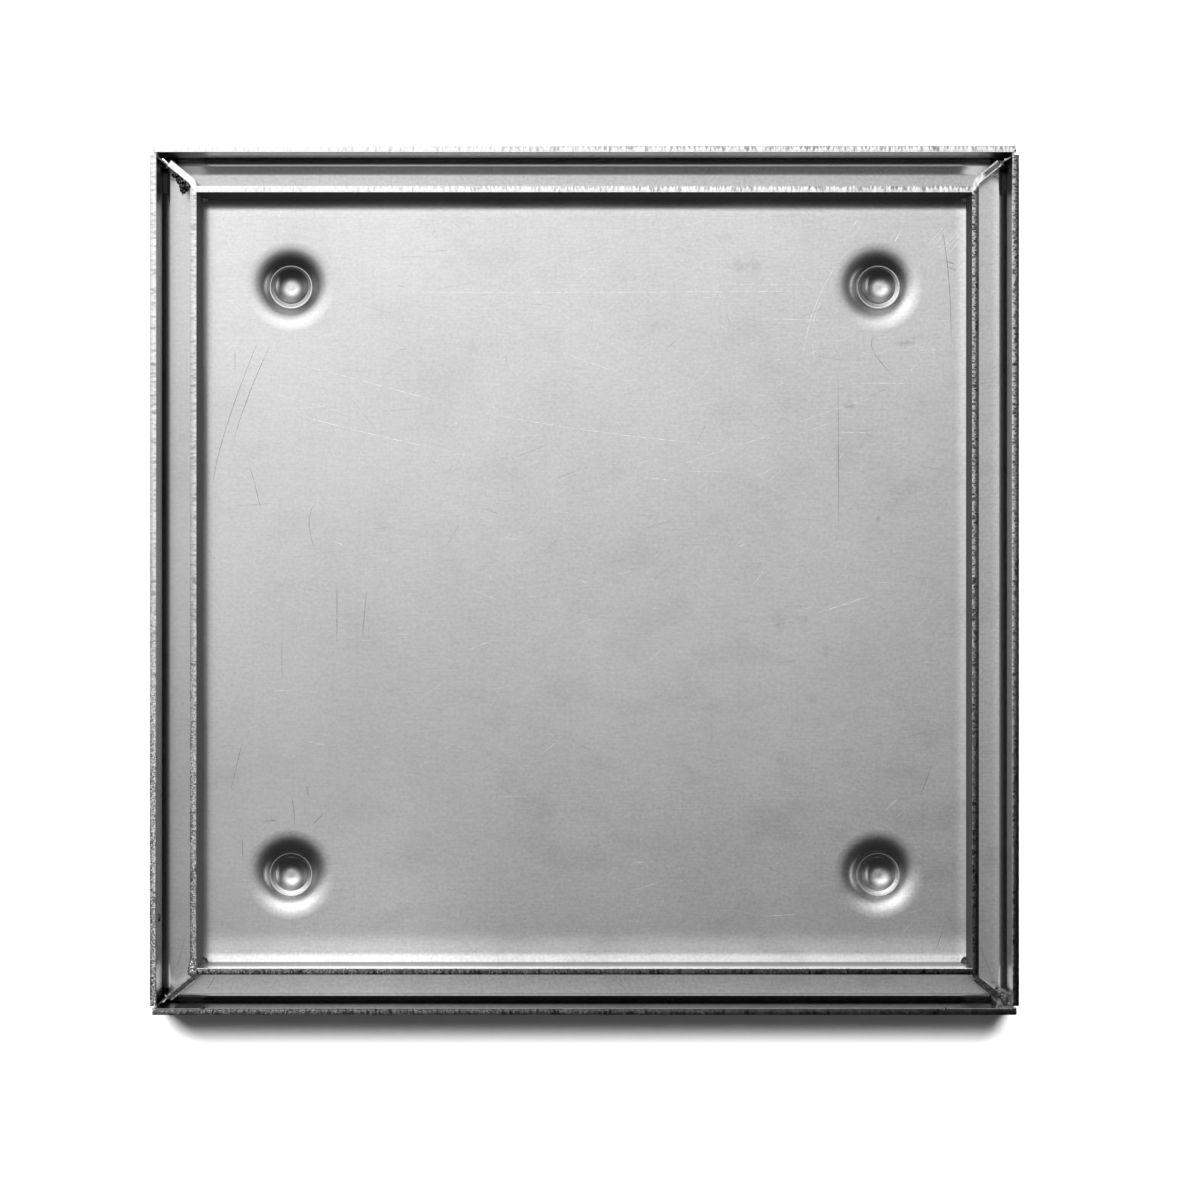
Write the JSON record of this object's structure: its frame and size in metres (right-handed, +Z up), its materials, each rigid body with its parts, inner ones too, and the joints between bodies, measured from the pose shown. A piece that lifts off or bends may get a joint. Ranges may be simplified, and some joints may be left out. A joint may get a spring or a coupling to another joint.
{
  "type": "recessed paving cover",
  "caption": "Square folded steel tray that is filled with paving and closes an inspection chamber flush with the ground, with an inner upstand that frames the paving and pressed feet.",
  "frame": {"origin": "under the middle of the cover, on the surface that its feet stand on", "axes": "+X to the right, +Y to the rear, +Z up, out of the recess"},
  "size_m": [0.4, 0.4, 0.0399],
  "materials": {
    "pan_sheet": "satin mill finish with fine scratches",
    "upstand_strip": "satin mill finish with sheared edges",
    "weld_metal": "rough weld bead"
  },
  "bodies": {
    "root": {"pan": "pan_sheet", "left_upstand": "upstand_strip", "right_upstand": "upstand_strip", "front_upstand": "upstand_strip", "rear_upstand": "upstand_strip", "tack_welds": "weld_metal", "corner_weld": "weld_metal"}
  },
  "joints": []
}
